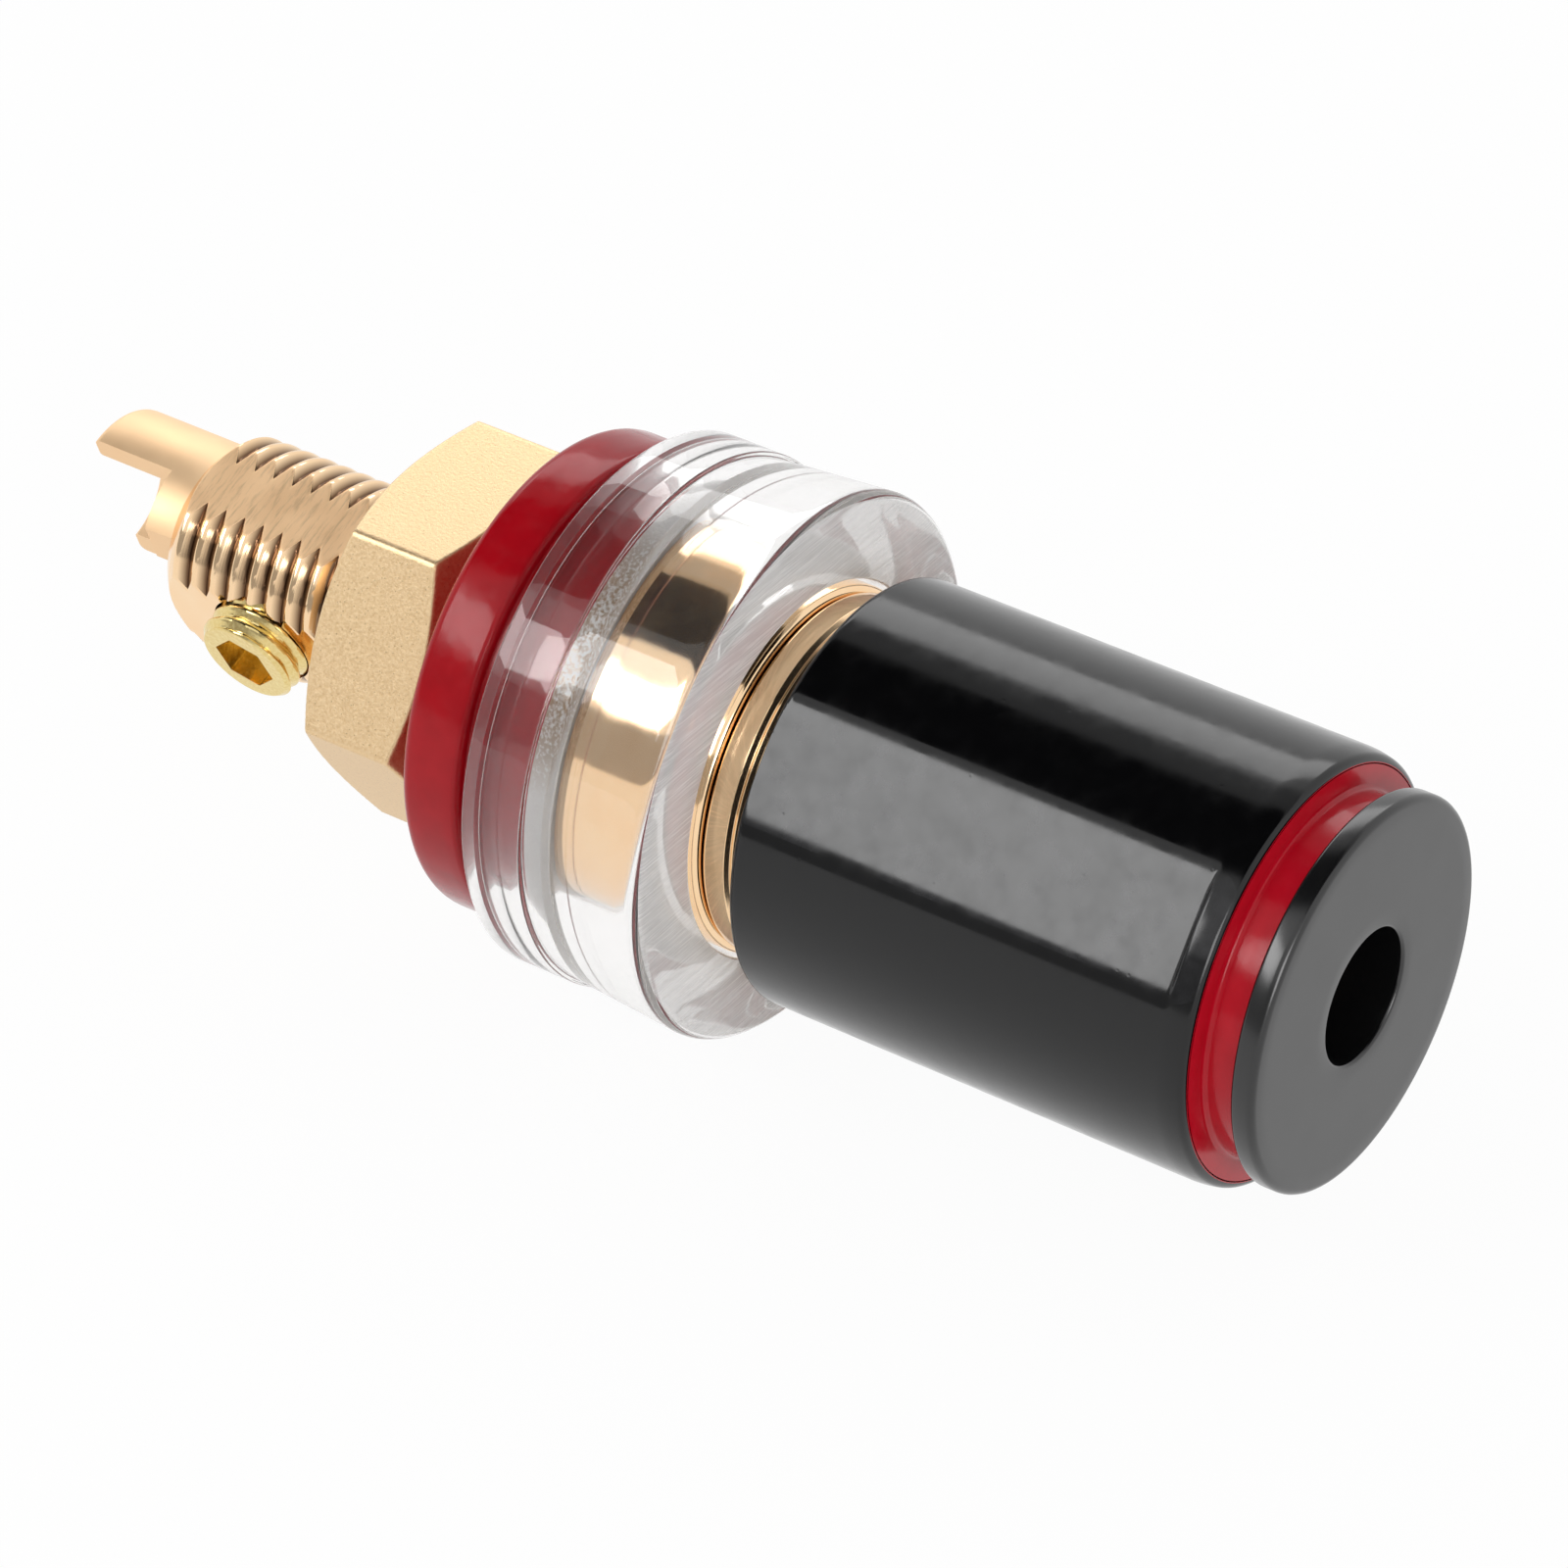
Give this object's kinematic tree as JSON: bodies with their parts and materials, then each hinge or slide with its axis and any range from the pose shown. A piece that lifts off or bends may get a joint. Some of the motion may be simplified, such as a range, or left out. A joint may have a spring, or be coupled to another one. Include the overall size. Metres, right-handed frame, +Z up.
{
  "type": "binding post",
  "caption": "Panel-mount binding post: gold-plated stud with solder cup and grub screw, hex nut, red washer, clear collar and a black screw-down knob with a 4 mm plug socket.",
  "frame": {"origin": "on the post's axis, at the collar's rear face, which sits on the panel", "axes": "+X along the axis out of the panel towards the knob and its socket, +Z up"},
  "size_m": [0.0474, 0.0182, 0.0182],
  "materials": {
    "rose_gold_plate": "polished gold plate",
    "nut_gold_plate": "satin gold plate",
    "screw_brass": "yellow brass",
    "clear_plastic": "clear moulded acrylic",
    "red_plastic": "gloss moulded",
    "black_lacquer": "gloss lacquer",
    "black_plastic": "satin moulded"
  },
  "bodies": {
    "post": {"post": "rose_gold_plate", "clear_collar": "clear_plastic", "rear_washer": "red_plastic", "nut": "nut_gold_plate"},
    "grub": {"grub_screw": "screw_brass"},
    "core": {"knob_core": "rose_gold_plate"},
    "knob": {"knob_shell": "black_lacquer", "colour_ring": "red_plastic", "front_cap": "black_plastic"}
  },
  "joints": [
    {"name": "knob_travel", "type": "slide", "parent": "post", "child": "core", "axis": [1, 0, 0], "range_m": [0, 0.005]},
    {"name": "knob_turn", "type": "hinge", "parent": "core", "child": "knob", "pos_m": [0.015, 0, 0], "axis": [-1, 0, 0], "range_deg": [0, 1800]},
    {"name": "grub_travel", "type": "slide", "parent": "post", "child": "grub", "axis": [0, 0.9367, 0.3502], "range_m": [0, 0.0015]}
  ],
  "couplings": [
    {"joint": "knob_turn", "follows": "knob_travel", "rad_per_m": 6283.2}
  ]
}
